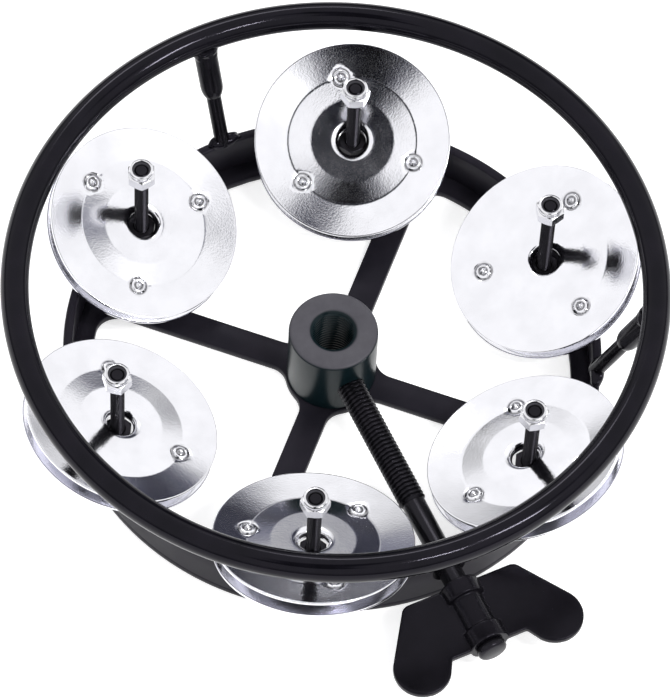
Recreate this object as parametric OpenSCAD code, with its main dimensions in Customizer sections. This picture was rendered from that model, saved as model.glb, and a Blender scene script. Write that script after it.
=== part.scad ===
// Hi-hat tambourine: a cross-armed base with six pairs of jingles on upright bolts,
// a round-rod guard ring above them, and a wing screw that clamps the hub to a hi-hat rod.
// Millimetres, +Z up, origin on the rod bore's axis at the underside of the base.

/* [Base] */
// Outer radius of the base hoop
hoop_r = 57.2; // [56:0.1:58]
// Wall thickness of the base hoop
hoop_wall = 2; // [1.5:0.1:2.5]
// Height of the hoop's top edge above the underside
hoop_top = 12.2; // [11.5:0.1:13]
// Thickness of the flat base plate
plate_t = 2; // [1.8:0.1:2.4]
// Inner radius of the plate's flange
flange_r = 51.3; // [50.8:0.1:52.5]
// Width of each cross arm
arm_w = 6.2; // [5:0.1:7]
// Radius of the concave flare at each end of an arm
arm_flare = 4.5; // [2:0.5:6]

/* [Hub] */
// Outer radius of the hub
hub_r = 9.5; // [9:0.1:10.5]
// Height of the hub's top face
hub_top = 19; // [18:0.5:22]
// Radius of the rod bore
bore_r = 4.3; // [3.5:0.1:4.5]
// Width of the hub's edge chamfers
hub_chamfer = 0.7; // [0.4:0.1:1]

/* [Guard ring] */
// Centre-line radius of the guard ring
ring_r = 67; // [66:0.5:70]
// Radius of the ring's rod
ring_rod_r = 3; // [2.5:0.1:3.2]
// Height of the ring's centre line
ring_z = 38; // [37:0.5:42]
// Radius of a post's rod
post_r = 1.6; // [1.3:0.1:1.8]
// Outer radius of a post's sleeve
sleeve_r = 2.5; // [2.1:0.1:2.6]
// Height where a sleeve begins
sleeve_z = 24; // [22:0.5:28]

/* [Jingles] */
// Radius of the circle of bolts
bolt_circle_r = 50; // [49.5:0.1:50.5]
// Radius of a jingle bolt (M3)
bolt_r = 1.5; // [1.4:0.05:1.5]
// Height of a bolt's top end
bolt_top = 36; // [35.8:0.1:36.4]
// Outer radius of a jingle
jingle_r = 21.1; // [19:0.1:21.3]
// Sheet thickness of a jingle
sheet_t = 0.5; // [0.4:0.05:0.6]
// Height added to every jingle pair's resting place
jingle_lift = 0; // [0:0.1:0.5]
// How far the upper jingle has slid from its bolt towards the hub
slide_in = 1; // [0.8:0.05:1.1]

/* [Clamp screw] */
// Height of the clamp screw's axis
screw_z = 9.5; // [9:0.1:10]
// Radius over the screw's thread (M6)
thread_r = 2.95; // [2.9:0.01:2.97]
// Radius of the plain shank
shank_r = 2.55; // [2.4:0.05:2.7]
// Thickness of the wing's sheet
wing_t = 1.6; // [1.2:0.1:2]

/* [Hidden] */

$fn = 96;
eps = 0.01;
stations = 6;
posts = 3;
arms = 4;
arm_turn = 45;                 // the first arm's direction
post_turn = 90;                // the first post's direction
hoop_in = hoop_r - hoop_wall;
pad_r = hub_r + 0.4;           // round pad of the plate under the hub

// M3 nuts: across flats, heights and the clearance round the bolt
nut_flats = 5.5;
nut_corner_r = nut_flats / 2 / cos(30);
plain_nut_h = 2.4;
lock_nut_h = 4;
lock_hex_h = 2.7;
lock_nut_top = 36.5;
collar_r = 2.65;
collar_lip_r = 2.0;
nut_gap = 0.02;
stop_tops = [12, 15.2, 13.2, 13.35, 14.05, 14.7];   // top of each stop nut, just under its pair
lug_r = 4.2;
head_r = 2.8;                  // countersunk head of the jingle bolt
head_h = 1.5;

// Jingle profile: radius, and depth of the outer face below the rim
hole_r = 3.05;
lip_depth = 2.1;               // the lip round the hole turns down to here
plateau_r = 8.9;
plateau_drop = 0.6;
crease_r = 14;
crease_drop = 1.02;
pip_r = 1.9;
pip_h = 0.75;
pip_count = 3;
pair_gap = 0.05;               // between the two lips of a resting pair
pair_shift = 0.4;              // the lower jingle lies this much further down the slope
pip_turn = [37, 15, 4, 14, 22, 13];
rim_rise = 1.25;               // from the point a pair leans about to the upper rim's plane
// How far each pair has slid from its usual place on its bolt: outwards, and anticlockwise
drifts = [[0.6, -1.2], [0, 0], [0.1, 0.75], [0.4, 0.15], [0, 0], [0, 0]];
// Each pair rests in its own way: lean towards the hub, and height of the upper jingle's hole
leans = [24.6, 23.9, 24.7, 20, 21.8, 22.5];
hole_heights = [15.9, 16.7, 16.2, 15.4, 15.6, 16.2];

// Clamp screw and wing along -Y
screw_tip_y = -4.7;
thread_end_y = -40;
shank_end_y = -78.6;
screw_play = 0.05;
notch_r = 3.7;                 // half width of the hoop's notch for the screw
wing_inner_y = -61.4;
wing_outer_y = -76.6;
wing_loop = 3.9;               // length of each loop round the shank
loop_r = 4.3;
wing_len = wing_inner_y - wing_outer_y;
barrel_r = 3.4;                // barrel between the loops
wing_shoulder = [11.6, -63.8];
shoulder_r = 2.3;
wing_tip = [15.2, -76];
lobe_r = 6.1;
cap_r = 3.3;                   // riveted end that keeps the wing on

module ring_of(count, first = 0) {
    for (i = [0 : count - 1]) rotate(first + i * 360 / count) children();
}

module tube(r_out, r_in, h) {
    difference() {
        cylinder(r = r_out, h = h);
        translate([0, 0, -eps]) cylinder(r = r_in, h = h + 2 * eps);
    }
}

// ---- base ----

// Points of an arc round a centre, from one angle to another
function arc(centre, r, from, to, steps = 10) =
    [for (k = [0 : steps]) let (a = from + (to - from) * k / steps) centre + r * [cos(a), sin(a)]];

// One arm from the hub's pad to the flange, with an arc at each corner that runs into them
module arm() {
    sink = 0.15;               // how far an arc's end lies inside the pad or the flange
    arc_y = arm_w / 2 + arm_flare;
    pad_arc = [sqrt(pow(pad_r - sink + arm_flare, 2) - pow(arc_y, 2)), arc_y];
    rim_arc = [sqrt(pow(flange_r + sink - arm_flare, 2) - pow(arc_y, 2)), arc_y];
    side = concat([[pad_r / 2, arm_w / 2]],
        arc(pad_arc, arm_flare, 180 + atan2(pad_arc[1], pad_arc[0]), 270),
        arc(rim_arc, arm_flare, 270, 360 + atan2(rim_arc[1], rim_arc[0])),
        [[flange_r + 1.5, arm_w / 2]]);
    far_side = [for (k = [len(side) - 1 : -1 : 0]) [side[k][0], -side[k][1]]];
    linear_extrude(plate_t) polygon(concat(side, far_side));
}

// Rounded lug that carries one jingle bolt, tied to the flange
module bolt_lug() {
    translate([bolt_circle_r, 0, 0]) cylinder(r = lug_r, h = plate_t);
    translate([bolt_circle_r, -lug_r, 0]) cube([4, 2 * lug_r, plate_t]);
}

// Through hole and countersink for one jingle bolt
module bolt_hole() {
    translate([bolt_circle_r, 0, -eps]) cylinder(r = bolt_r + nut_gap, h = plate_t + 2 * eps);
    translate([bolt_circle_r, 0, 0])
        rotate_extrude() polygon([[0, -eps], [head_r + nut_gap, -eps], [head_r + nut_gap, 0],
            [bolt_r + nut_gap, head_h], [0, head_h]]);
}

module base_plate() {
    color("#1d1b20")
    difference() {
        union() {
            tube(hoop_r, flange_r, plate_t);
            cylinder(r = pad_r, h = plate_t);
            ring_of(arms, arm_turn) arm();
            ring_of(stations) bolt_lug();
        }
        translate([0, 0, -eps]) cylinder(r = bore_r, h = plate_t + 2 * eps);
        ring_of(stations) bolt_hole();
    }
}

module base_hoop() {
    color("#1d1b20")
    difference() {
        translate([0, 0, plate_t]) tube(hoop_r, hoop_in, hoop_top - plate_t);
        translate([0, 0, screw_z]) rotate([90, 0, 0]) cylinder(r = notch_r, h = hoop_r + 5);
        translate([-notch_r, -hoop_r - 5, screw_z]) cube([2 * notch_r, hoop_r, hoop_top]);
    }
}

module hub() {
    color("#0f1a1d")
    difference() {
        rotate_extrude() polygon([[bore_r, plate_t], [hub_r, plate_t],
            [hub_r, hub_top - hub_chamfer], [hub_r - hub_chamfer, hub_top],
            [bore_r + hub_chamfer, hub_top], [bore_r, hub_top - hub_chamfer]]);
        translate([0, 0, screw_z]) rotate([90, 0, 0])
            cylinder(r = thread_r + screw_play, h = hub_r + 2);
    }
}

// ---- guard ring and posts ----

module guard_ring_solid() {
    translate([0, 0, ring_z]) rotate_extrude() translate([ring_r, 0]) circle(r = ring_rod_r);
}

module guard_ring() {
    color("#111114") guard_ring_solid();
}

// Post axis: from the middle of the hoop's edge to the centre of the ring's rod
post_foot = [hoop_r - hoop_wall / 2, 0, hoop_top];
post_head = [ring_r, 0, ring_z];
post_tilt = atan2(post_head[0] - post_foot[0], post_head[2] - post_foot[2]);
post_len = norm(post_head - post_foot);

module along_post(start_z) {
    start = (start_z - hoop_top) / cos(post_tilt);
    translate(post_foot) rotate([0, post_tilt, 0]) translate([0, 0, start]) children();
}

module post_rod(i) {
    color("#1a181c")
    rotate(post_turn + (i - 1) * 360 / posts)
    difference() {
        along_post(hoop_top - 2) cylinder(r = post_r, h = post_len + 2);
        translate([0, 0, hoop_top - 4]) cylinder(r = ring_r, h = 4);
        guard_ring_solid();
    }
}

module post_sleeve(i) {
    sleeve_len = post_len - (sleeve_z - hoop_top) / cos(post_tilt) - 1.2;
    color("#1a181c")
    rotate(post_turn + (i - 1) * 360 / posts)
    difference() {
        along_post(sleeve_z) tube(sleeve_r, post_r, sleeve_len);
        guard_ring_solid();
    }
}

// ---- jingle stations ----

// Moves its children to the bolt of station i (1 to 6, anticlockwise from +X)
module at_station(i) {
    rotate((i - 1) * 360 / stations) translate([bolt_circle_r, 0, 0]) children();
}

module jingle_bolt(i) {
    color("#141316")
    at_station(i) rotate_extrude() polygon([[0, 0], [head_r, 0], [bolt_r, head_h],
        [bolt_r, bolt_top - 0.3], [bolt_r - 0.3, bolt_top], [0, bolt_top]]);
}

// Hexagonal nut with its corners turned down at 30 degrees, standing on z = 0
module hex_nut(h, bevel_top = true) {
    bevel = nut_corner_r - nut_flats / 2;
    difference() {
        intersection() {
            cylinder(r = nut_corner_r, h = h, $fn = 6);
            rotate_extrude() polygon([[0, 0], [nut_flats / 2, 0],
                [nut_corner_r, bevel * tan(30)],
                [nut_corner_r, h - (bevel_top ? bevel * tan(30) : 0)],
                [bevel_top ? nut_flats / 2 : nut_corner_r, h], [0, h]]);
        }
        translate([0, 0, -eps]) cylinder(r = bolt_r + nut_gap, h = h + 2 * eps);
    }
}

module stop_nut(i) {
    color("#17161a")
    at_station(i) translate([0, 0, stop_tops[i - 1] - plain_nut_h]) hex_nut(plain_nut_h);
}

module clamp_nuts() {
    color("#17161a")
    for (i = [1 : stations]) at_station(i) translate([0, 0, plate_t]) hex_nut(plain_nut_h);
}

// Nylon-insert lock nut: hexagon below, round crimped collar above
module lock_nut(i) {
    groove_r = bolt_r + 0.75;
    color("#c4c7ca")
    at_station(i) translate([0, 0, lock_nut_top - lock_nut_h]) {
        hex_nut(lock_hex_h);
        rotate_extrude() polygon([[bolt_r + nut_gap, lock_hex_h - 0.5],
            [collar_r, lock_hex_h - 0.5], [collar_r, lock_nut_h - 0.4],
            [collar_r - 0.35, lock_nut_h], [collar_lip_r, lock_nut_h],
            [collar_lip_r, lock_nut_h - 0.3], [groove_r, lock_nut_h - 0.35],
            [groove_r, lock_hex_h], [bolt_r + nut_gap, lock_hex_h]]);
    }
}

module nylon_inserts() {
    color("#2a2a2e")
    for (i = [1 : stations]) at_station(i)
        translate([0, 0, lock_nut_top - lock_nut_h + lock_hex_h])
            tube(bolt_r + 0.73, bolt_r + nut_gap, lock_nut_h - lock_hex_h - 0.4);
}

// Cross-section of a jingle: its outer face from the hole's lip to the rim, then its inner face
function jingle_section() = concat(
    [[hole_r, -lip_depth], [hole_r, -lip_depth + 0.25], [hole_r + 0.15, -lip_depth + 0.7],
     [hole_r + 0.45, -plateau_drop - 0.38], [hole_r + 0.85, -plateau_drop - 0.12],
     [hole_r + 1.35, -plateau_drop], [plateau_r - 0.1, -plateau_drop], [plateau_r + 0.5, -plateau_drop - 0.03],
     [crease_r - 0.5, -crease_drop + 0.02], [crease_r - 0.25, -crease_drop], [crease_r, -crease_drop + 0.04],
     [crease_r + 0.25, -crease_drop + 0.11], [jingle_r - 0.5, -0.04], [jingle_r - 0.2, 0],
     [jingle_r, -0.15]],
    [[jingle_r, -0.15 - sheet_t], [jingle_r - 0.5, -0.04 - sheet_t],
     [crease_r + 0.25, -crease_drop + 0.11 - sheet_t], [crease_r, -crease_drop + 0.04 - sheet_t],
     [crease_r - 0.25, -crease_drop - sheet_t], [plateau_r + 0.5, -plateau_drop - 0.03 - sheet_t],
     [plateau_r - 0.1, -plateau_drop - sheet_t], [hole_r + 1.6, -plateau_drop - sheet_t],
     [hole_r + 1.15, -plateau_drop - sheet_t - 0.1], [hole_r + 0.8, -plateau_drop - sheet_t - 0.35],
     [hole_r + 0.57, -lip_depth + 0.3], [hole_r + 0.5, -lip_depth]]);

// Cupped jingle, outer face up, with the middle of its rim at the origin
module jingle() {
    pip_curve = (pip_r * pip_r + pip_h * pip_h) / (2 * pip_h);
    rotate_extrude() polygon(jingle_section());
    for (k = [0 : pip_count - 1]) rotate(k * 360 / pip_count) translate([crease_r, 0, -crease_drop])
        intersection() {
            translate([0, 0, pip_h + 0.2 - pip_curve]) sphere(r = pip_curve, $fn = 48);
            translate([0, 0, -0.2]) cylinder(r = pip_r, h = 2, $fn = 48);
        }
}

// Places the upper jingle of station i, leaning about a point beside its bolt
module at_pair(i) {
    at_station(i)
        translate([drifts[i - 1][0] - slide_in, drifts[i - 1][1], hole_heights[i - 1] + jingle_lift])
            rotate([0, -leans[i - 1], 0]) translate([0, 0, rim_rise]) children();
}

module jingle_upper(i) {
    color("#d9dbde") at_pair(i) rotate(pip_turn[i - 1]) jingle();
}

module jingle_lower(i) {
    rim_spacing = 2 * lip_depth + pair_gap;
    color("#cfd2d6") at_pair(i) translate([-pair_shift, 0, -rim_spacing])
        rotate([180, 0, 0]) rotate(pip_turn[i - 1] + 60) jingle();
}

// ---- clamp screw ----

// Places a profile, drawn as [radius, distance from the bore's axis], along -Y at the screw's height
module along_screw() {
    translate([0, 0, screw_z]) rotate([90, 0, 0]) children();
}

module clamp_screw() {
    neck = 0.6;
    color("#18171b")
    along_screw() rotate_extrude() polygon([[0, -screw_tip_y], [thread_r - 0.7, -screw_tip_y],
        [thread_r, -screw_tip_y + 0.7], [thread_r, -thread_end_y - neck],
        [shank_r, -thread_end_y], [shank_r, -wing_outer_y], [cap_r, -wing_outer_y],
        [cap_r, -shank_end_y - 0.5], [cap_r - 0.5, -shank_end_y], [0, -shank_end_y]]);
}

// Flat outline of the wing: two leaves that widen outwards from a straight band
module wing_outline() {
    right = concat(
        arc(wing_shoulder, shoulder_r, 95, 38, 6),
        arc(wing_tip, lobe_r, 32, -144, 16),
        [[8.6, wing_outer_y]]);
    left = [for (k = [len(right) - 1 : -1 : 0]) [-right[k][0], right[k][1]]];
    polygon(concat(right, left));
}

module wing() {
    color("#19181d")
    difference() {
        union() {
            translate([0, 0, screw_z - wing_t / 2]) linear_extrude(wing_t) wing_outline();
            translate([0, wing_inner_y - 1, 0]) along_screw() cylinder(r = barrel_r, h = wing_len - 2);
            for (y = [wing_inner_y, wing_outer_y + wing_loop])
                translate([0, y, 0]) along_screw() cylinder(r = loop_r, h = wing_loop);
        }
        along_screw() cylinder(r = shank_r, h = 90);
    }
}

base_plate();
base_hoop();
hub();
guard_ring();
post_rod(1);  // post_rod_1
post_rod(2);  // post_rod_2
post_rod(3);  // post_rod_3
post_sleeve(1);  // post_sleeve_1
post_sleeve(2);  // post_sleeve_2
post_sleeve(3);  // post_sleeve_3
jingle_bolt(1);  // jingle_bolt_1
jingle_bolt(2);  // jingle_bolt_2
jingle_bolt(3);  // jingle_bolt_3
jingle_bolt(4);  // jingle_bolt_4
jingle_bolt(5);  // jingle_bolt_5
jingle_bolt(6);  // jingle_bolt_6
stop_nut(1);  // stop_nut_1
stop_nut(2);  // stop_nut_2
stop_nut(3);  // stop_nut_3
stop_nut(4);  // stop_nut_4
stop_nut(5);  // stop_nut_5
stop_nut(6);  // stop_nut_6
lock_nut(1);  // lock_nut_1
lock_nut(2);  // lock_nut_2
lock_nut(3);  // lock_nut_3
lock_nut(4);  // lock_nut_4
lock_nut(5);  // lock_nut_5
lock_nut(6);  // lock_nut_6
clamp_nuts();
nylon_inserts();
jingle_lower(1);  // jingle_lower_1
jingle_lower(2);  // jingle_lower_2
jingle_lower(3);  // jingle_lower_3
jingle_lower(4);  // jingle_lower_4
jingle_lower(5);  // jingle_lower_5
jingle_lower(6);  // jingle_lower_6
jingle_upper(1);  // jingle_upper_1
jingle_upper(2);  // jingle_upper_2
jingle_upper(3);  // jingle_upper_3
jingle_upper(4);  // jingle_upper_4
jingle_upper(5);  // jingle_upper_5
jingle_upper(6);  // jingle_upper_6
clamp_screw();
wing();
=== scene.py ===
import math

import bmesh
import bpy
from mathutils import Matrix, Vector, noise
from mathutils.geometry import delaunay_2d_cdt


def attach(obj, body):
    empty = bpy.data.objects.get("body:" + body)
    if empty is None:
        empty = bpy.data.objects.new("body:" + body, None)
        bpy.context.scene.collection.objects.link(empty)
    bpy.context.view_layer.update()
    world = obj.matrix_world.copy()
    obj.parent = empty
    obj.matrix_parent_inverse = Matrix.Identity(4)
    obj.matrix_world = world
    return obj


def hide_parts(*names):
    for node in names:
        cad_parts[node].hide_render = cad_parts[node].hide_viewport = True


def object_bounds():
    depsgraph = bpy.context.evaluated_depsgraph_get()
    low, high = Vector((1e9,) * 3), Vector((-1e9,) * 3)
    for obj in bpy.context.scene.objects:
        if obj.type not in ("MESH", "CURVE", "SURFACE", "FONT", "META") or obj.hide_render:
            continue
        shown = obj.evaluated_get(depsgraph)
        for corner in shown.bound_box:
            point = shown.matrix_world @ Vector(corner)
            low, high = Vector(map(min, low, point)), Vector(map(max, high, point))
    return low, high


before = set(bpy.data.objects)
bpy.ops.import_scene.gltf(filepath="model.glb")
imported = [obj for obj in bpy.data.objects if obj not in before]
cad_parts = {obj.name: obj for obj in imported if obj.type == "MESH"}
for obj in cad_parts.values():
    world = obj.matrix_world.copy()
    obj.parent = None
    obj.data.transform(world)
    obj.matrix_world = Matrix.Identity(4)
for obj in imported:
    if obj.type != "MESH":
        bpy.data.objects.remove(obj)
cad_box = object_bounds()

# ---- sizes in millimetres, the same as the CAD's; a list has one value for each station ----

MM = 0.001
STATIONS = 6
BOLT_CIRCLE_R = 50
BOLT_R = 1.5
BOLT_TOP = 36
NUT_FLATS = 5.5
STOP_TOPS = [12, 15.2, 13.2, 13.35, 14.05, 14.7]
PLAIN_NUT_H = 2.4
LOCK_NUT_TOP = 36.5
LOCK_NUT_H = 4
LOCK_HEX_H = 2.7
LOCK_TURNS = [12, 40, 8, 21, 33, 47]

JINGLE_R = 21.1
SHEET_T = 0.5
HOLE_R = 3.05
PIP_R = 14.0
RIM_RISE = 1.25
RIM_SPACING = 4.25
PAIR_SHIFT = 0.4
SLIDE_IN = 1
LEANS = [24.6, 23.9, 24.7, 20, 21.8, 22.5]
HOLE_HEIGHTS = [15.9, 16.7, 16.2, 15.4, 15.6, 16.2]
PIP_TURNS = [37, 15, 4, 14, 22, 13]
DRIFTS = [(0.6, -1.2), (0, 0), (0.1, 0.75), (0.4, 0.15), (0, 0), (0, 0)]

HOOP_R, HOOP_WALL, HOOP_TOP = 57.2, 2, 12.2
PLATE_T, FLANGE_R, ARM_W, ARM_FLARE = 2, 51.3, 6.2, 4.5
LUG_R = 4.2
LUG_HALF_ANGLE = 6.6
HUB_R, HUB_TOP, BORE_R = 9.5, 19, 4.3
RING_R, RING_ROD_R, RING_Z = 67, 3, 38
POST_R, SLEEVE_R, SLEEVE_Z = 1.6, 2.5, 24
SCREW_Z, THREAD_R, SHANK_R, WING_T = 9.5, 2.95, 2.55, 1.6
TIP_Y, THREAD_END_Y, SHANK_END_Y = -4.7, -40, -78.6
NOTCH_R = 3.7
WING_INNER_Y, WING_OUTER_Y, WING_LOOP, LOOP_R = -61.4, -76.6, 3.9, 4.3
BARREL_R = 3.4

# How many sides round rods and beads have
ROUND_SIDES = 48


# ---- materials ----

class Nodes:
    """Short names for the node calls that the materials share."""

    def __init__(self, tree):
        self.tree = tree

    def add(self, kind):
        return self.tree.nodes.new(kind)

    def link(self, out, into):
        self.tree.links.new(out, into)

    def noise(self, coords, scale, detail=3.0, rough=0.5):
        node = self.add("ShaderNodeTexNoise")
        node.inputs["Scale"].default_value = scale
        node.inputs["Detail"].default_value = detail
        node.inputs["Roughness"].default_value = rough
        self.link(coords, node.inputs["Vector"])
        return node.outputs["Fac"]

    def map(self, value, low, high, to_low, to_high, smooth=False):
        node = self.add("ShaderNodeMapRange")
        node.interpolation_type = "SMOOTHSTEP" if smooth else "LINEAR"
        for key, number in zip(("From Min", "From Max", "To Min", "To Max"),
                               (low, high, to_low, to_high)):
            node.inputs[key].default_value = number
        self.link(value, node.inputs["Value"])
        return node.outputs["Result"]

    def math(self, operation, a, b):
        node = self.add("ShaderNodeMath")
        node.operation = operation
        for slot, value in zip(node.inputs, (a, b)):
            if isinstance(value, (int, float)):
                slot.default_value = value
            else:
                self.link(value, slot)
        return node.outputs[0]

    def mix(self, factor, a, b):
        node = self.add("ShaderNodeMix")
        node.data_type = "RGBA"
        self.link(factor, node.inputs[0])
        node.inputs[6].default_value = (*a, 1)
        node.inputs[7].default_value = (*b, 1)
        return node.outputs[2]

    def bump(self, height, distance, onto=None):
        node = self.add("ShaderNodeBump")
        node.inputs["Distance"].default_value = distance
        self.link(height, node.inputs["Height"])
        if onto is not None:
            self.link(onto, node.inputs["Normal"])
        return node.outputs["Normal"]


def start_material(name):
    """A material, its node helper, its shader and coordinates that differ from piece to piece."""
    material = bpy.data.materials.new(name)
    material.use_nodes = True
    nodes = Nodes(material.node_tree)
    shader = material.node_tree.nodes["Principled BSDF"]
    place = nodes.add("ShaderNodeTexCoord").outputs["Object"]
    shift = nodes.add("ShaderNodeVectorMath")
    shift.operation = "ADD"
    nodes.link(place, shift.inputs[0])
    nodes.link(nodes.add("ShaderNodeObjectInfo").outputs["Random"], shift.inputs[1])
    return material, nodes, shader, shift.outputs[0]


PAINT_GLOSS_TINT = (0.86, 0.82, 1.0, 1)


def paint(name, dark, light, roughness, grain, grain_depth, specular):
    """Black paint: cloudy in colour and gloss, with a fine grain or orange peel."""
    material, nodes, shader, coords = start_material(name)
    cloud = nodes.noise(coords, 140, 4)
    fine = nodes.noise(coords, grain, 2)
    wear = nodes.noise(coords, 900, 5, 0.7)
    nodes.link(nodes.mix(nodes.map(cloud, 0.3, 0.7, 0, 1), dark, light),
               shader.inputs["Base Color"])
    worn = nodes.math("ADD", nodes.map(cloud, 0.3, 0.7, roughness * 0.85, roughness * 1.15),
                      nodes.map(wear, 0.62, 0.8, 0, 0.12, True))
    nodes.link(worn, shader.inputs["Roughness"])
    shader.inputs["Specular IOR Level"].default_value = specular
    shader.inputs["Specular Tint"].default_value = PAINT_GLOSS_TINT
    coarse = nodes.bump(cloud, grain_depth * 4)
    nodes.link(nodes.bump(fine, grain_depth, coarse), shader.inputs["Normal"])
    return material


def bare_metal(name, dark, light, roughness, grain, grain_depth):
    """Plated metal: slightly uneven colour, and a grain that breaks up reflections."""
    material, nodes, shader, coords = start_material(name)
    cloud = nodes.noise(coords, 170, 4)
    blotch = nodes.noise(coords, 60, 3)
    fine = nodes.noise(coords, grain, 3, 0.6)
    nodes.link(nodes.mix(nodes.map(cloud, 0.35, 0.65, 0, 1), dark, light),
               shader.inputs["Base Color"])
    shader.inputs["Metallic"].default_value = 1.0
    nodes.link(nodes.math("ADD", nodes.map(blotch, 0.35, 0.65, roughness * 0.7, roughness * 1.3),
                          nodes.map(fine, 0.55, 0.75, 0, roughness * 0.6)),
               shader.inputs["Roughness"])
    nodes.link(nodes.bump(fine, grain_depth), shader.inputs["Normal"])
    return material


# name: dark and light colour, roughness, grain's scale and depth in metres, and gloss
PAINTS = {
    "base_paint": ((0.009, 0.0085, 0.012), (0.014, 0.0125, 0.0175), 0.36, 2600, 6e-6, 0.1),
    "ring_paint": ((0.002, 0.002, 0.0028), (0.0045, 0.004, 0.0062), 0.10, 900, 3e-6, 0.16),
    "post_paint": ((0.0025, 0.0025, 0.0033), (0.005, 0.0045, 0.006), 0.17, 1300, 8e-6, 0.14),
    "wing_paint": ((0.0028, 0.0026, 0.0036), (0.0052, 0.0046, 0.0066), 0.24, 1500, 1e-5, 0.13),
    "screw_black": ((0.0035, 0.0035, 0.0042), (0.006, 0.0055, 0.007), 0.22, 2500, 3e-6, 0.2),
    "bolt_steel": ((0.0035, 0.0035, 0.0042), (0.006, 0.0055, 0.007), 0.24, 2500, 2e-6, 0.16),
    "black_nut": ((0.007, 0.007, 0.008), (0.011, 0.010, 0.012), 0.3, 2500, 3e-6, 0.2),
    "nylon": ((0.020, 0.020, 0.022), (0.032, 0.032, 0.035), 0.45, 1800, 3e-6, 0.4),
}
MATERIALS = {name: paint(name, *look) for name, look in PAINTS.items()}
MATERIALS["zinc_nut"] = bare_metal("zinc_nut", (0.65, 0.65, 0.675), (0.79, 0.79, 0.82),
                                   0.14, 2400, 3e-6)
MATERIALS["jingle_metal"] = bare_metal("jingle_metal", (0.80, 0.80, 0.84), (0.86, 0.86, 0.903),
                                       0.10, 2400, 1.3e-5)


def hub_material():
    """Blackened turned steel: teal-black sides, a grey top face, lighter than the sides, with
    turning rings.
    """
    material, nodes, shader, coords = start_material("hub_steel")
    place = nodes.add("ShaderNodeTexCoord").outputs["Object"]
    axes = nodes.add("ShaderNodeSeparateXYZ")
    nodes.link(place, axes.inputs[0])
    on_top = nodes.map(axes.outputs["Z"], (HUB_TOP - 0.5) * MM, (HUB_TOP - 0.1) * MM, 0, 1, True)
    turning_pitch = 0.35 * MM
    cloud = nodes.noise(coords, 260, 5, 0.6)
    grain = nodes.noise(coords, 2300, 3)
    flat = nodes.add("ShaderNodeCombineXYZ")
    nodes.link(axes.outputs["X"], flat.inputs[0])
    nodes.link(axes.outputs["Y"], flat.inputs[1])
    length = nodes.add("ShaderNodeVectorMath")
    length.operation = "LENGTH"
    nodes.link(flat.outputs[0], length.inputs[0])
    rings = nodes.math("MULTIPLY", length.outputs["Value"], 2 * math.pi / turning_pitch)
    rings = nodes.math("SINE", rings, 0)
    side = nodes.mix(cloud, (0.002, 0.007, 0.009), (0.004, 0.012, 0.015))
    face = nodes.mix(cloud, (0.045, 0.043, 0.052), (0.085, 0.083, 0.096))
    blend = nodes.add("ShaderNodeMix")
    blend.data_type = "RGBA"
    nodes.link(on_top, blend.inputs[0])
    nodes.link(side, blend.inputs[6])
    nodes.link(face, blend.inputs[7])
    nodes.link(blend.outputs[2], shader.inputs["Base Color"])
    nodes.link(nodes.map(on_top, 0, 1, 0.3, 0.42), shader.inputs["Roughness"])
    shader.inputs["Specular IOR Level"].default_value = 0.17
    grooves = nodes.math("MULTIPLY", rings, on_top)
    nodes.link(nodes.bump(grooves, 1.5e-6, nodes.bump(grain, 3e-6)), shader.inputs["Normal"])
    return material


MATERIALS["hub_steel"] = hub_material()


def add_painted_crease_shade(material):
    """Paints shade into the metal's colour where the mesh's shade attribute is high, in the pips'
    creases.
    """
    nodes = Nodes(material.node_tree)
    shader = material.node_tree.nodes["Principled BSDF"]
    attribute = nodes.add("ShaderNodeAttribute")
    attribute.attribute_name = "painted_crease_shade"
    clean = shader.inputs["Base Color"].links[0].from_socket
    blend = nodes.add("ShaderNodeMix")
    blend.data_type = "RGBA"
    nodes.link(attribute.outputs["Fac"], blend.inputs[0])
    nodes.link(clean, blend.inputs[6])
    # Near-black colour of the painted shade in the creases
    blend.inputs[7].default_value = (0.03, 0.03, 0.035, 1)
    nodes.link(blend.outputs[2], shader.inputs["Base Color"])


add_painted_crease_shade(MATERIALS["jingle_metal"])


# ---- mesh building ----

def skin(rings, closed=False, caps=False):
    """Vertices and faces of a surface through rings of points.

    closed joins the last ring to the first, and caps fills both ends."""
    count = len(rings[0])
    verts = [p for ring in rings for p in ring]
    faces = []
    for k in range(len(rings) if closed else len(rings) - 1):
        a, b = k * count, (k + 1) % len(rings) * count
        for j in range(count):
            n = (j + 1) % count
            faces.append((a + j, a + n, b + n, b + j))
    if caps:
        faces.append(tuple(range(count - 1, -1, -1)))
        faces.append(tuple(range(len(verts) - count, len(verts))))
    return verts, faces


def turned_solid(profile, angles=96, radius=None):
    """A closed (radius, height) profile turned about Z.

    radius(r, z, angle) may change the radius."""
    rings = []
    for k in range(angles):
        a = 2 * math.pi * k / angles
        ring = []
        for r, z in profile:
            rr = radius(r, z, a) if radius else r
            ring.append((rr * math.cos(a), rr * math.sin(a), z))
        rings.append(ring)
    return skin(rings, closed=True)


def make_mesh(name, parts, sharp=32):
    """One mesh, in metres, from (verts, faces) parts in millimetres.

    It is smooth except at edges sharper than sharp degrees."""
    mesh = bpy.data.meshes.new(name)
    verts, faces = [], []
    for part_verts, part_faces in parts:
        start = len(verts)
        verts += [tuple(c * MM for c in v) for v in part_verts]
        faces += [tuple(start + i for i in f) for f in part_faces]
    mesh.from_pydata(verts, [], faces)
    bm = bmesh.new()
    bm.from_mesh(mesh)
    bmesh.ops.remove_doubles(bm, verts=bm.verts, dist=1e-8)
    bmesh.ops.recalc_face_normals(bm, faces=bm.faces)
    bm.to_mesh(mesh)
    bm.free()
    mesh.shade_smooth()
    mesh.set_sharp_from_angle(angle=math.radians(sharp))
    return mesh


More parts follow.
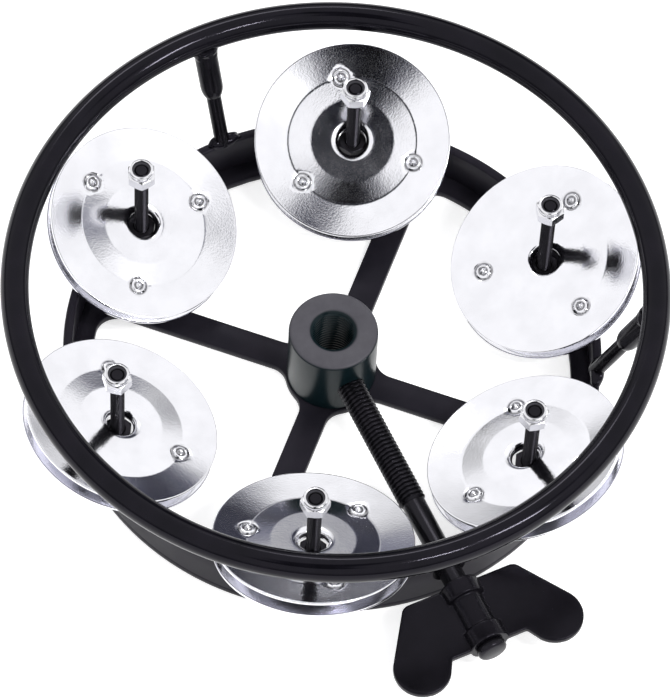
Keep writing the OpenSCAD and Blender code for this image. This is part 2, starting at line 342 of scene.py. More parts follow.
def add_piece(name, mesh, slot, body="frame", place=None, replaces=()):
    """Shows a mesh as a piece of the object, with its material, on a body."""
    piece = bpy.data.objects.new(name, mesh)
    bpy.context.scene.collection.objects.link(piece)
    if not mesh.materials:
        mesh.materials.append(MATERIALS[slot])
    if place is not None:
        piece.matrix_world = place
    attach(piece, body)
    if replaces:
        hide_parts(*replaces)


def applied(name, base_mesh, modifiers, sharp=32):
    """The mesh after modifiers, given as (kind, settings), with its own smooth shading."""
    temp = bpy.data.objects.new(name, base_mesh)
    bpy.context.scene.collection.objects.link(temp)
    for kind, settings in modifiers:
        modifier = temp.modifiers.new(kind, kind)
        for key, value in settings.items():
            setattr(modifier, key, value)
    bpy.context.view_layer.update()
    graph = bpy.context.evaluated_depsgraph_get()
    mesh = bpy.data.meshes.new_from_object(temp.evaluated_get(graph))
    bpy.data.objects.remove(temp)
    mesh.name = name
    mesh.shade_smooth()
    mesh.set_sharp_from_angle(angle=math.radians(sharp))
    return mesh


def cut(name, base_mesh, cutter_parts, sharp=32):
    """The mesh with cutters taken away."""
    cutters = []
    for k, part in enumerate(cutter_parts):
        cutter = bpy.data.objects.new(f"cutter_{k}", make_mesh(f"cutter_{k}", [part]))
        bpy.context.scene.collection.objects.link(cutter)
        cutters.append(cutter)
    steps = [("BOOLEAN", {"operation": "DIFFERENCE", "solver": "EXACT", "object": cutter})
             for cutter in cutters]
    mesh = applied(name, base_mesh, steps, sharp)
    for cutter in cutters:
        bpy.data.objects.remove(cutter)
    return mesh


def along_y(part):
    """Turns a part built along +Z to run along -Y at the screw's height."""
    verts, faces = part
    return [(x, -z, y + SCREW_Z) for x, y, z in verts], faces


def circle(radius, z, angles):
    """A ring of points round Z."""
    return [(radius * math.cos(2 * math.pi * k / angles),
             radius * math.sin(2 * math.pi * k / angles), z) for k in range(angles)]


def rod(radius, start, end, angles=ROUND_SIDES):
    """A plain solid rod along Z."""
    return skin([circle(radius, z, angles) for z in (start, end)], caps=True)


def turned(degrees):
    """A turn about Z."""
    return Matrix.Rotation(math.radians(degrees), 4, "Z")


def moved(x, y, z):
    """A move given in millimetres."""
    return Matrix.Translation((x * MM, y * MM, z * MM))


def at_bolt(i):
    """The place of a station's bolt, with X pointing outwards."""
    return turned(60 * (i - 1)) @ moved(BOLT_CIRCLE_R, 0, 0)


def arc(cx, cy, r, start, end, steps=12):
    """Points on an arc, from one angle to another, in degrees."""
    return [(cx + r * math.cos(math.radians(start + (end - start) * k / steps)),
             cy + r * math.sin(math.radians(start + (end - start) * k / steps)))
            for k in range(steps + 1)]


def turn_points(points, degrees):
    """Points in the plane, turned about the origin."""
    c, s = math.cos(math.radians(degrees)), math.sin(math.radians(degrees))
    return [(x * c - y * s, x * s + y * c) for x, y in points]


# ---- jingles ----

# Radius, and depth of the outer face below the rim's plane, from the turned-down lip to the rim
JINGLE_FACE = [(3.05, -1.92), (3.14, -1.5), (3.3, -1.16), (3.55, -0.9), (3.9, -0.72),
               (4.4, -0.615), (4.9, -0.6), (8.85, -0.6), (9.2, -0.62),
               (13.5, -0.985), (13.7, -1.003), (13.9, -1.01), (14.12, -0.998), (14.35, -0.965),
               (20.7, -0.05), (20.92, -0.01), (21.05, -0.02), (21.1, -0.1)]
# The inner face near the hole, where it does not follow the outer one
JINGLE_BACK = [(3.55, -2.05), (3.62, -1.8), (3.85, -1.42), (4.2, -1.18), (4.7, -1.11), (5.2, -1.1)]
LIP_EDGE = [(3.4, -2.1), (3.2, -2.1), (HOLE_R, -2.02)]
DOME_R, DOME_H = 1.8, 0.6
SHEET_WAVE, SHEET_RIPPLE = 0.016, 0.005


def linear(points, x):
    """The height at x of the line through the points."""
    for (x0, y0), (x1, y1) in zip(points, points[1:]):
        if x <= x1:
            return y0 + (y1 - y0) * max(0.0, x - x0) / (x1 - x0)
    return points[-1][1]


def jingle_height(r):
    """Height of the outer face at radius r, with its corners softened."""
    reach = 0.14 if r > 5 else 0.05
    reach = min(reach, r - HOLE_R, JINGLE_R - r)
    return sum(linear(JINGLE_FACE, r + reach * k / 4) for k in range(-4, 5)) / 9


def bell(x, middle, width):
    """A smooth bump of height 1 at middle."""
    return math.exp(-((x - middle) / width) ** 2)


def pip_height(distance):
    """A round dome with a small nub in a shallow ring at its top."""
    moat = -0.13 * bell(distance, 1.95, 0.22)
    if distance >= DOME_R:
        return moat
    dome = DOME_H * (1 - (distance / DOME_R) ** 2.6)
    nub = 0.38 * max(0, 1 - (distance / 0.6) ** 2)
    dent = 0.3 * bell(distance, 0.85, 0.26)
    return moat + dome + nub - dent


def spread(stops):
    """Numbers from (start, end, step) runs, each one once."""
    values = []
    for start, end, step in stops:
        count = max(1, round((end - start) / step))
        values += [start + (end - start) * k / count for k in range(count)]
    return values + [stops[-1][1]]


def jingle_mesh(name, seed, place):
    """A stamped, cupped disc with a turned-down lip and three pips.

    Its rim's plane lies at the place's origin, and seed sets how its sheet waves."""
    radii = spread([(3.05, 3.6, 0.07), (3.6, 4.9, 0.13), (4.9, 8.5, 0.6), (8.5, 9.5, 0.1),
                    (9.5, 11.9, 0.4), (11.9, 16.1, 0.17), (16.1, 20.5, 0.55), (20.5, 21.1, 0.08)])
    angles = []
    for k in range(3):
        angles += [120 * k + a for a in spread([(-8.5, 8.5, 0.7), (8.5, 111.5, 2.4)])[:-1]]
    pips = [(PIP_R * math.cos(math.radians(120 * k)), PIP_R * math.sin(math.radians(120 * k)))
            for k in range(3)]
    back_end = JINGLE_BACK[-1][0]
    rings = []
    for a in angles:
        c, s = math.cos(math.radians(a)), math.sin(math.radians(a))
        top, under = [], []
        for r in radii:
            x, y = r * c, r * s
            z = jingle_height(r)
            z += sum(pip_height(math.hypot(x - px, y - py)) for px, py in pips)
            ease = min(1, max(0, r - 5) / 3)
            z += SHEET_WAVE * ease * noise.noise(Vector((x / 9, y / 9, seed)))
            z += SHEET_RIPPLE * ease * noise.noise(Vector((x / 3, y / 3, seed + 7)))
            top.append((x, y, z))
            if r > back_end:
                under.append((x, y, z - SHEET_T))
        under = [(r * c, r * s, z) for r, z in JINGLE_BACK] + under
        rim = [(c * (JINGLE_R + 0.04), s * (JINGLE_R + 0.04), top[-1][2] - SHEET_T / 2)]
        lip = [(r * c, r * s, z) for r, z in LIP_EDGE]
        rings.append(top + rim + under[::-1] + lip)
    mesh = make_mesh(name, [skin(rings, closed=True)], 40)
    # Painted shade: the colour darkens in the ring round each pip's dome and in the dent round its
    # nub
    painted_crease_shade = mesh.attributes.new("painted_crease_shade", "FLOAT", "POINT")
    for vertex, value in zip(mesh.vertices, painted_crease_shade.data):
        x, y = vertex.co.x / MM, vertex.co.y / MM
        away = min(math.hypot(x - px, y - py) for px, py in pips)
        value.value = max(0.8 * bell(away, 1.85, 0.2), 0.9 * bell(away, 0.88, 0.2))
    mesh.transform(place)
    return mesh


for i in range(1, STATIONS + 1):
    out, around = DRIFTS[i - 1]
    pair = (at_bolt(i) @ moved(out - SLIDE_IN, around, HOLE_HEIGHTS[i - 1])
            @ Matrix.Rotation(math.radians(-LEANS[i - 1]), 4, "Y") @ moved(0, 0, RIM_RISE))
    upper = pair @ turned(PIP_TURNS[i - 1])
    lower = (pair @ moved(-PAIR_SHIFT, 0, -RIM_SPACING) @ Matrix.Rotation(math.pi, 4, "X")
             @ turned(PIP_TURNS[i - 1] + 60))
    for side, place, seed in (("upper", upper, 3.1), ("lower", lower, 53.1)):
        add_piece(f"{side}_jingle_{i}", jingle_mesh(f"{side}_sheet_{i}", seed + 5 * i, place),
                  "jingle_metal", f"jingle_{side}_{i}", replaces=[f"jingle_{side}_{i}"])


# ---- threads, bolts and nuts ----

def threaded(radius, depth, pitch, start, end, rings_per_pitch, angles, taper, head=()):
    """A solid rod threaded from start to end, chamfered at its ends.

    head gives (r, z) rings before it."""
    rings = [circle(r, z, angles) for r, z in head]
    count = round((end - start) / pitch * rings_per_pitch)
    for k in range(count + 1):
        z = start + (end - start) * k / count
        ring = []
        for j in range(angles):
            a = 2 * math.pi * j / angles
            phase = (z / pitch - a / (2 * math.pi)) % 1
            wave = min(1, max(0, 2.4 * abs(2 * phase - 1) - 0.7))
            limit = radius - max(0, taper[0] - (z - start)) - max(0, taper[1] - (end - z))
            r = min(radius - depth * wave, limit)
            ring.append((r * math.cos(a), r * math.sin(a), z))
        rings.append(ring)
    return skin(rings, caps=True)


def hex_radius(a):
    """Radius of the nut's hexagon at an angle, with its corners along the nut's own X axis."""
    side = (a + math.pi / 6) % (math.pi / 3) - math.pi / 6
    return NUT_FLATS / 2 / math.cos(math.pi / 6 - abs(side))


def hex_cone(height):
    """Radius rule for a nut of that height: the hexagon, its corners turned down by cones."""
    face = NUT_FLATS / 2 - 0.08
    cone_slope, hex_inner_r = 1.75, 2.45

    def rule(r, z, a):
        if r < hex_inner_r or z > height + 0.001:
            return r
        return min(hex_radius(a), face + cone_slope * min(z, height - z))
    return rule


def hex_rows(height):
    """Profile points up a nut's side, close together where the cones cut the corners."""
    fine = [0, 0.06, 0.12, 0.18, 0.24, 0.3]
    heights = fine + [height / 2] + [height - z for z in reversed(fine)]
    return [(3, z) for z in heights]


BORE = BOLT_R + 0.02
# The lock nut's collar over the hexagon, turned in over the insert
LOCK_COLLAR = [(2.44, 2.74), (2.44, 2.8), (2.62, 3.0), (2.65, 3.1), (2.65, 3.5), (2.6, 3.72),
               (2.48, 3.88), (2.3, 3.97), (2.12, 4.0), (2.0, 3.95), (1.97, 3.82), (2.02, 3.68),
               (2.23, 3.62), (2.23, 2.72)]
lock_profile = ([(BORE + 0.25, 0)] + hex_rows(LOCK_HEX_H) + LOCK_COLLAR
                + [(BORE, 2.72), (BORE, 0.25)])
plain_profile = ([(BORE + 0.25, 0)] + hex_rows(PLAIN_NUT_H)
                 + [(BORE + 0.25, PLAIN_NUT_H), (BORE, PLAIN_NUT_H - 0.25), (BORE, 0.25)])
insert_profile = [(BORE, 0.03), (2.2, 0.03), (2.2, 0.8), (2.05, 0.89), (1.8, 0.9), (1.6, 0.82),
                  (BORE, 0.7)]
# A countersunk head with a round recess
bolt_head = [(1.15, 1.1), (1.15, 0.12), (1.3, 0), (2.7, 0), (2.8, 0.12), (BOLT_R, 1.55)]

lock_mesh = make_mesh("lock_nut", [turned_solid(lock_profile, 120, hex_cone(LOCK_HEX_H))], 24)
plain_mesh = make_mesh("plain_nut", [turned_solid(plain_profile, 120, hex_cone(PLAIN_NUT_H))], 24)
nylon_mesh = make_mesh("nylon_insert", [turned_solid(insert_profile, 72)])
bolt_mesh = make_mesh("bolt", [threaded(BOLT_R, 0.27, 0.5, 2.0, BOLT_TOP, 6, 28, (0.0, 0.35),
                                        head=bolt_head)], 40)

for i in range(1, STATIONS + 1):
    here = at_bolt(i)
    nut_place = here @ moved(0, 0, LOCK_NUT_TOP - LOCK_NUT_H) @ turned(LOCK_TURNS[i - 1])
    add_piece(f"bolt_{i}", bolt_mesh, "bolt_steel", place=here, replaces=[f"jingle_bolt_{i}"])
    add_piece(f"support_nut_{i}", plain_mesh, "black_nut",
              place=here @ moved(0, 0, STOP_TOPS[i - 1] - PLAIN_NUT_H),
              replaces=[f"stop_nut_{i}"])
    add_piece(f"foot_nut_{i}", plain_mesh, "black_nut", place=here @ moved(0, 0, PLATE_T),
              replaces=["clamp_nuts"] if i == 1 else ())
    add_piece(f"top_nut_{i}", lock_mesh, "zinc_nut", place=nut_place, replaces=[f"lock_nut_{i}"])
    add_piece(f"insert_{i}", nylon_mesh, "nylon", place=nut_place @ moved(0, 0, LOCK_HEX_H),
              replaces=["nylon_inserts"] if i == 1 else ())


# ---- base plate, hoop and hub ----

def facing_in(outline, hole):
    """The outline without repeated points, ordered so that the metal lies on its left."""
    loop = [p for k, p in enumerate(outline) if math.dist(p, outline[k - 1]) > 1e-3]
    area = sum(x0 * y1 - x1 * y0 for (x0, y0), (x1, y1) in zip(loop, loop[1:] + loop[:1]))
    return loop[::-1] if (area > 0) == hole else loop


def inset(loop, depth):
    """The loop moved into the metal by depth."""
    result = []
    for k, (x, y) in enumerate(loop):
        (ax, ay), (bx, by) = loop[k - 1], loop[(k + 1) % len(loop)]
        before = Vector((ay - y, x - ax)).normalized()
        after = Vector((y - by, bx - x)).normalized()
        middle = (before + after) / max(0.5, 1 + before.dot(after))
        result.append((x + middle.x * depth, y + middle.y * depth))
    return result


def inside(point, loop):
    """Whether a point lies inside a loop of points, by counting crossings."""
    crossings = 0
    for (x0, y0), (x1, y1) in zip(loop, loop[1:] + loop[:1]):
        if (y0 > point.y) != (y1 > point.y):
            crossings += point.x < x0 + (point.y - y0) * (x1 - x0) / (y1 - y0)
    return crossings % 2 == 1


def plate_mesh():
    """The flat plate as a filled outline with windows, bolt holes and softened edges."""
    edge = 0.3
    pad = HUB_R + 0.4
    arc_y = ARM_W / 2 + ARM_FLARE
    pad_x = math.sqrt((pad + ARM_FLARE) ** 2 - arc_y ** 2)
    rim_x = math.sqrt((FLANGE_R - ARM_FLARE) ** 2 - arc_y ** 2)
    pad_angle = math.degrees(math.atan2(arc_y, pad_x))
    rim_angle = math.degrees(math.atan2(arc_y, rim_x))
    outlines = [arc(0, 0, HOOP_R, 0, 360, 240)[:-1], arc(0, 0, BORE_R, 0, 360, 72)[:-1]]
    arm_side = (arc(pad_x, arc_y, ARM_FLARE, 180 + pad_angle, 270)
                + arc(rim_x, arc_y, ARM_FLARE, 270, 360 + rim_angle))
    far_side = [(x, -y) for x, y in reversed(arm_side)]
    lug = (arc(BOLT_CIRCLE_R + 0.04, -LUG_R - 1, 1, 0, 90, 6)
           + arc(BOLT_CIRCLE_R, 0, LUG_R, -90, -270, 24)
           + arc(BOLT_CIRCLE_R + 0.04, LUG_R + 1, 1, -90, 0, 6))
    for window in range(4):
        middle = 90 * window
        path = turn_points(arm_side, middle - 45)
        at = middle - 45 + rim_angle
        for station in range(-1, STATIONS + 1):
            bolt = 60 * station
            if middle - 45 < bolt < middle + 45:
                path += arc(0, 0, FLANGE_R, at, bolt - LUG_HALF_ANGLE, 10)[1:]
                path += turn_points(lug, bolt)
                at = bolt + LUG_HALF_ANGLE
        path += arc(0, 0, FLANGE_R, at, middle + 45 - rim_angle, 14)
        path += turn_points(far_side, middle + 45)
        path += arc(0, 0, pad, middle + 45 - pad_angle, middle - 45 + pad_angle, 8)[1:-1]
        outlines.append(path)
    for i in range(STATIONS):
        outlines.append(turn_points(arc(BOLT_CIRCLE_R, 0, BOLT_R + 0.5, 0, 360, 40)[:-1], 60 * i))
    levels = [(edge, 0), (edge * 0.3, edge * 0.3), (0, edge),
              (0, PLATE_T - edge), (edge * 0.3, PLATE_T - edge * 0.3), (edge, PLATE_T)]
    parts, inner = [], []
    for number, outline in enumerate(outlines):
        loop = facing_in(outline, hole=number > 0)
        parts.append(skin([[(x, y, z) for x, y in inset(loop, depth)] for depth, z in levels]))
        inner.append(inset(loop, edge))
    flat, edges = [], []
    for loop in inner:
        start = len(flat)
        flat += [Vector(p) for p in loop]
        edges += [(start + k, start + (k + 1) % len(loop)) for k in range(len(loop))]
    flat, _, triangles, _, _, _ = delaunay_2d_cdt(flat, edges, [], 0, 1e-7)
    metal = []
    for triangle in triangles:
        middle = sum((flat[k] for k in triangle), Vector((0, 0))) / 3
        if inside(middle, inner[0]) and not any(inside(middle, loop) for loop in inner[1:]):
            metal.append(tuple(triangle))
    for z in (0, PLATE_T):
        parts.append(([(p.x, p.y, z) for p in flat], metal))
    return make_mesh("plate", parts, 34)


add_piece("plate", plate_mesh(), "base_paint", replaces=["base_plate"])

hoop_in = HOOP_R - HOOP_WALL
hoop_edge = 0.55
hoop_profile = ([(hoop_in, PLATE_T + k) for k in (0, 3, 6)]
                + arc(hoop_in + hoop_edge, HOOP_TOP - hoop_edge, hoop_edge, 180, 90, 5)
                + arc(HOOP_R - hoop_edge, HOOP_TOP - hoop_edge, hoop_edge, 90, 0, 5)
                + [(HOOP_R, PLATE_T + k) for k in (6, 3, 0)])
notch_outline = arc(0, 0, NOTCH_R, -180, 0, 32) + [(NOTCH_R, 8), (-NOTCH_R, 8)]
slot_cut = along_y(skin([[(x, y, z) for x, y in notch_outline] for z in (50, 62)], caps=True))
hoop_mesh = cut("hoop", make_mesh("hoop_blank", [turned_solid(hoop_profile, 300)]), [slot_cut], 34)
add_piece("hoop", hoop_mesh, "base_paint", replaces=["base_hoop"])


def hub_blank():
    """Turned hub with rounded corners and a threaded bore."""
    angles, pitch, depth = 96, 1.0, 0.32
    thread_top = HUB_TOP - 0.8
    outside = ([(HUB_R - 0.25, PLATE_T), (HUB_R, PLATE_T + 0.25), (HUB_R, 9)]
               + arc(HUB_R - 0.75, HUB_TOP - 0.75, 0.75, 0, 90, 6)
               + [(BORE_R + 1.1, HUB_TOP), (BORE_R + 0.95, HUB_TOP - 0.08)])
    rings = []
    rows = round((thread_top - PLATE_T) / pitch * 8)
    for k in range(angles):
        a = 2 * math.pi * k / angles
        ring = [(r * math.cos(a), r * math.sin(a), z) for r, z in outside]
        for m in range(rows + 1):
            z = thread_top - (thread_top - PLATE_T) * m / rows
            phase = (z / pitch - a / (2 * math.pi)) % 1
            r = BORE_R + depth * min(1, max(0, 2.2 * abs(2 * phase - 1) - 0.6))
            ring.append((r * math.cos(a), r * math.sin(a), z))
        rings.append(ring)
    return make_mesh("hub_blank", [skin(rings, closed=True)])


hub_mesh = cut("hub_turned", hub_blank(), [along_y(rod(THREAD_R + 0.06, 3.0, 12))], 30)
add_piece("hub_body", hub_mesh, "hub_steel", replaces=["hub"])


# ---- guard ring and posts ----

def ring_mesh():
    """The bent rod of the guard ring, very slightly uneven, as a painted rod is."""
    steps, unevenness = 360, 0.012
    rings = []
    for k in range(steps):
        a = 2 * math.pi * k / steps
        ring = []
        for j in range(ROUND_SIDES):
            b = 2 * math.pi * j / ROUND_SIDES
            wave = noise.noise(Vector((3 * math.cos(a), 3 * math.sin(a), 0.3 * b)))
            r = RING_ROD_R - unevenness + unevenness * wave
            out = RING_R + r * math.cos(b)
            ring.append((out * math.cos(a), out * math.sin(a), RING_Z + r * math.sin(b)))
        rings.append(ring)
    return make_mesh("ring_rod", [skin(rings, closed=True)], 60)


add_piece("guard_rod", ring_mesh(), "ring_paint", replaces=["guard_ring"])

post_foot = Vector((HOOP_R - HOOP_WALL / 2, 0, HOOP_TOP))
post_head = Vector((RING_R, 0, RING_Z))
post_axis = (post_head - post_foot).normalized()
post_len = (post_head - post_foot).length
post_side = Vector((0, 1, 0))
post_front = post_side.cross(post_axis)


def post_point(distance, radius, a):
    """A point near the post's axis: how far along it, how far out and at what angle."""
    p = post_foot + post_axis * distance
    return p + radius * (math.cos(a) * post_front + math.sin(a) * post_side)


def post_part(profile, angles=40, rough=0.0, seed=0.0):
    """A solid round the post's axis, from (distance along it, radius) points.

    rough is how lumpy it is, and seed gives each post its own lumps."""
    rings = []
    for d, r in profile:
        ring = []
        for k in range(angles):
            a = 2 * math.pi * k / angles
            spot = Vector((1.4 * math.cos(a), 1.4 * math.sin(a), d / 1.1 + seed))
            ring.append(tuple(post_point(d, r * (1 + rough * noise.noise(spot)), a)))
        rings.append(ring)
    return skin(rings, caps=True)


sleeve_start = (SLEEVE_Z - HOOP_TOP) / post_axis.z
ring_reach = post_len - RING_ROD_R * 0.6
rod_profile = [(-0.6, POST_R), (1, POST_R), (sleeve_start + 1, POST_R)]
# Distances along the post and radii: a tapered sleeve up to the ring, and a bead of weld round it
sleeve_profile = [(sleeve_start, POST_R - 0.05), (sleeve_start, POST_R + 0.1),
                  (sleeve_start + 0.3, POST_R + 0.32), (sleeve_start + 0.9, POST_R + 0.55),
                  (sleeve_start + 1.8, SLEEVE_R - 0.1), (sleeve_start + 2.8, SLEEVE_R - 0.02),
                  (post_len - 6, SLEEVE_R), (ring_reach, SLEEVE_R)]
head_profile = [(post_len - 4.6, SLEEVE_R - 0.1), (post_len - 4.3, SLEEVE_R + 0.04),
                (post_len - 3.8, SLEEVE_R + 0.15), (post_len - 3.2, SLEEVE_R + 0.38),
                (post_len - 2.7, SLEEVE_R + 0.5), (post_len - 2.0, SLEEVE_R + 0.2)]


def foot_bead(seed):
    """A lumpy bead of weld round the post's foot, longer on one side along the hoop."""
    rows = 8
    rings = []
    for k in range(rows + 1):
        t = k / rows * math.pi / 2
        ring = []
        for j in range(ROUND_SIDES):
            a = 2 * math.pi * j / ROUND_SIDES
            long = 1.35 if math.sin(a) < 0 else 1.0
            lump = 1 + 0.14 * noise.noise(Vector((1.7 * math.cos(a), 1.7 * math.sin(a), seed + t)))
            x = (0.75 + 0.95 * math.cos(t)) * math.cos(a) * lump
            y = (1.3 + 1.9 * math.cos(t)) * math.sin(a) * lump * long
            ring.append((post_foot.x + 0.15 + x, y, HOOP_TOP - 0.25 + 1.5 * math.sin(t) * lump))
        rings.append(ring)
    return skin(rings, caps=True)


for k in range(3):
    turn = turned(90 + 120 * k)
    for piece, mesh_name, profile, node in (
            ("post_bar", "post", rod_profile, "post_rod"),
            ("post_collar", "sleeve", sleeve_profile, "post_sleeve")):
        add_piece(f"{piece}_{k + 1}", make_mesh(f"{mesh_name}_{k + 1}", [post_part(profile)]),
                  "post_paint", place=turn, replaces=[f"{node}_{k + 1}"])
    for piece, mesh_name, part in (
            ("ring_weld", "weld", post_part(head_profile, ROUND_SIDES, 0.14, 4.0 * k)),
            ("foot_weld", "foot", foot_bead(3.0 * k))):
        add_piece(f"{piece}_{k + 1}", make_mesh(f"{mesh_name}_{k + 1}", [part], 60), "ring_paint",
                  place=turn)


# ---- clamp screw and wing ----

screw_part = threaded(THREAD_R, 0.58, 1.0, -TIP_Y, -THREAD_END_Y, 10, ROUND_SIDES, (0.8, 0.5))
shank_rings = [(SHANK_R - 0.35, -THREAD_END_Y - 0.4), (SHANK_R, -THREAD_END_Y + 0.3),
               (SHANK_R, -WING_OUTER_Y + 0.12), (2.95, -WING_OUTER_Y + 0.14),
               (3.15, -WING_OUTER_Y + 0.4), (3.15, -SHANK_END_Y - 0.6),
               (2.9, -SHANK_END_Y - 0.2), (2.4, -SHANK_END_Y)]
shank_part = skin([circle(r, z, ROUND_SIDES) for r, z in shank_rings], caps=True)
screw_mesh = make_mesh("thumb_screw", [along_y(screw_part), along_y(shank_part)], 40)
add_piece("thumb_screw", screw_mesh, "screw_black", "clamp_screw", replaces=["clamp_screw"])


def wing_mesh():
    """The stamped wing: a flat sheet fused softly with a barrel and two bands round the shank."""
    right = (arc(11.6, -63.8, 2.3, 95, 38, 10) + arc(15.2, -76, 6.1, 32, -144, 40)
             + [(8.6, WING_OUTER_Y)])
    outline = right + [(-x, y) for x, y in reversed(right)]
    low, high = SCREW_Z - WING_T / 2, SCREW_Z + WING_T / 2
    sheet = skin([[(x, y, z) for x, y in outline] for z in (low, high)], caps=True)
    bands = [along_y(rod(LOOP_R, -WING_INNER_Y, -WING_INNER_Y + WING_LOOP)),
             along_y(rod(LOOP_R, -WING_OUTER_Y - WING_LOOP, -WING_OUTER_Y)),
             along_y(rod(BARREL_R, -WING_INNER_Y + 1, -WING_OUTER_Y - 1))]
    bm = bmesh.new()
    bm.from_mesh(make_mesh("wing_blank", [sheet]))
    bm.from_mesh(make_mesh("wing_bands", bands))
    fused = bpy.data.meshes.new("wing_fused")
    bm.to_mesh(fused)
    bm.free()
    soft = applied("wing_soft", fused, [
        ("REMESH", {"mode": "VOXEL", "voxel_size": 0.22 * MM, "adaptivity": 0.0}),
        ("SMOOTH", {"factor": 0.5, "iterations": 6})])
    return cut("wing_leaf", soft, [along_y(rod(SHANK_R + 0.05, 50, 90, 64))], 40)


add_piece("wing_leaf", wing_mesh(), "wing_paint", "clamp_screw", replaces=["wing"])


# ---- floor, light and camera ----

def pale_floor():
    """A wide, pale and slightly shining floor, just under the object."""
    material, nodes, shader, coords = start_material("floor_pale")
    tone = nodes.noise(coords, 3, 2)
    nodes.link(nodes.mix(tone, (0.80, 0.80, 0.80), (0.83, 0.83, 0.83)), shader.inputs["Base Color"])
    shader.inputs["Roughness"].default_value = 0.8
    shader.inputs["Specular IOR Level"].default_value = 0.1
    shader.inputs["Emission Color"].default_value = (1, 1, 1, 1)
    shader.inputs["Emission Strength"].default_value = 0.62
    mesh = bpy.data.meshes.new("floor")
    half = 4
    z = cad_box[0].z - 0.0002
    corners = [(-half, -half, z), (half, -half, z), (half, half, z), (-half, half, z)]
    mesh.from_pydata(corners, [], [(0, 1, 2, 3)])
    mesh.materials.append(material)
    floor = bpy.data.objects.new("floor", mesh)
    bpy.context.scene.collection.objects.link(floor)


CAMERA_AZIMUTH, CAMERA_ELEVATION = math.radians(-28.1), math.radians(59.79)
CAMERA_ROLL = math.radians(3.34)
right_level = Vector((math.cos(CAMERA_AZIMUTH), math.sin(CAMERA_AZIMUTH), 0))
away_level = Vector((-math.sin(CAMERA_AZIMUTH), math.cos(CAMERA_AZIMUTH), 0))


def studio_direction(right, away):
    """A direction, in degrees from straight up towards the picture's right and its far side."""
    tilt, turn = math.radians(math.hypot(right, away)), math.atan2(away, right)
    level = right_level * math.cos(turn) + away_level * math.sin(turn)
    return level * math.sin(tilt) + Vector((0, 0, math.cos(tilt)))


# Dark gaps in the light tent: direction, full and soft radius in degrees, and depth
DARK_CARDS = [
    (-2, -30, 6, 9.5, 0.98), (-7, -30, 4, 8, 0.95), (4, -30, 2, 5.5, 0.8),
    (-1, -23, 4, 7.5, 0.95), (-1, -17, 4, 7.5, 0.95), (-0.5, -11, 4, 7.5, 0.95),
    (1.5, -7, 3.5, 6.5, 0.95), (4, -2.5, 3, 5.5, 0.93), (28.5, 4.5, 2, 7, 0.8),
    (37, 57, 1.5, 6, 0.6), (10, 64, 2, 6, 0.6), (20, 60, 3, 7, 0.9), (26, 64, 3, 7, 0.85),
    (13, 69, 5, 9, 0.92), (-11, 74, 3, 8, 0.5), (-43, 57, 2, 7, 0.5), (-30, 80, 4, 12, 0.6),
    (4, 84, 5, 12, 0.7), (32, 80, 4, 12, 0.6),
]
# The far side's tent is dimmer
DIM_SIDE = (0, 85, 8, 32, 0.52)
TENT_STRENGTH = 1.12
# The tent's walls darken from this height, as a direction's Z, down to the horizon
WALL_TOP, WALL_FOOT, FOOT_STRENGTH = 0.38, 0.03, 0.22
GAP_TINT = (0.80, 0.83, 1.25)


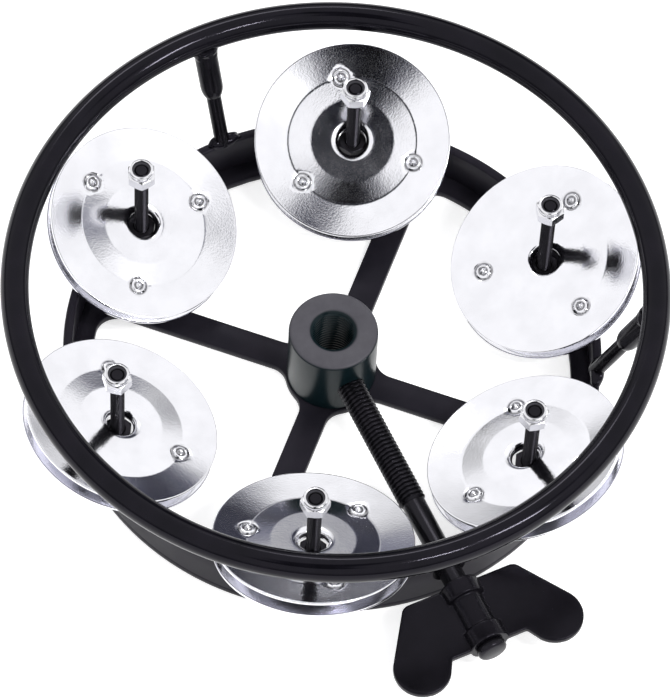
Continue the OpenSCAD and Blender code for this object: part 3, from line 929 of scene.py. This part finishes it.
def light_tent():
    """A pale overhead tent with a few dark gaps, as a world."""
    world = bpy.data.worlds.new("light_tent")
    world.use_nodes = True
    nodes = Nodes(world.node_tree)
    background = world.node_tree.nodes["Background"]
    way = nodes.add("ShaderNodeTexCoord").outputs["Generated"]
    axes = nodes.add("ShaderNodeSeparateXYZ")
    nodes.link(way, axes.inputs[0])
    value = nodes.map(axes.outputs["Z"], WALL_FOOT, WALL_TOP, FOOT_STRENGTH, 1.0, True)
    for right, away, full, soft, depth in DARK_CARDS + [DIM_SIDE]:
        near = nodes.add("ShaderNodeVectorMath")
        near.operation = "DOT_PRODUCT"
        nodes.link(way, near.inputs[0])
        near.inputs[1].default_value = studio_direction(right, away)
        shade = nodes.map(near.outputs["Value"], math.cos(math.radians(soft)),
                          math.cos(math.radians(full)), 1.0, 1.0 - depth, True)
        value = nodes.math("MULTIPLY", value, shade)
    nodes.link(nodes.math("MULTIPLY", value, TENT_STRENGTH), background.inputs["Strength"])
    bright = nodes.map(value, 0, 0.45, 0, 1)
    nodes.link(nodes.mix(bright, GAP_TINT, (1.0, 1.0, 1.0)), background.inputs["Color"])
    bpy.context.scene.world = world


LIGHT_DISTANCE = 1.6


def soft_box(name, right, away, width, length, power, spin=0.0):
    """An area light in that direction, facing the object."""
    data = bpy.data.lights.new(name, "AREA")
    data.shape, data.size, data.size_y, data.energy = "RECTANGLE", width, length, power
    light = bpy.data.objects.new(name, data)
    way = studio_direction(right, away)
    light.location = way * LIGHT_DISTANCE
    light.rotation_mode = "QUATERNION"
    light.rotation_quaternion = way.to_track_quat("Z", "Y") @ turned(spin).to_quaternion()
    bpy.context.scene.collection.objects.link(light)


def camera():
    """A camera far away, looking down at the hub from the wing's left."""
    distance, right_shift, up_shift = 1.25, -0.85 * MM, -5.61 * MM
    back = Vector((math.sin(CAMERA_AZIMUTH) * math.cos(CAMERA_ELEVATION),
                   -math.cos(CAMERA_AZIMUTH) * math.cos(CAMERA_ELEVATION),
                   math.sin(CAMERA_ELEVATION)))
    level_up = back.cross(right_level)
    right = math.cos(CAMERA_ROLL) * right_level + math.sin(CAMERA_ROLL) * level_up
    up = -math.sin(CAMERA_ROLL) * right_level + math.cos(CAMERA_ROLL) * level_up
    data = bpy.data.cameras.new("camera")
    data.sensor_width, data.lens = 36, 301.13
    data.clip_start, data.clip_end = 0.05, 20
    holder = bpy.data.objects.new("camera", data)
    place = Matrix.Translation(back * distance - right * right_shift - up * up_shift)
    holder.matrix_world = place @ Matrix((right, up, back)).transposed().to_4x4()
    bpy.context.scene.collection.objects.link(holder)
    bpy.context.scene.camera = holder


pale_floor()
light_tent()
soft_box("side_box", 34, -16, width=0.10, length=0.4, power=8, spin=20)
soft_box("near_strip", 21, -24, width=0.02, length=0.25, power=4, spin=40)
soft_box("far_box", -8, 44, width=0.5, length=0.2, power=2.5)
camera()
bpy.context.scene.view_settings.view_transform = "Standard"
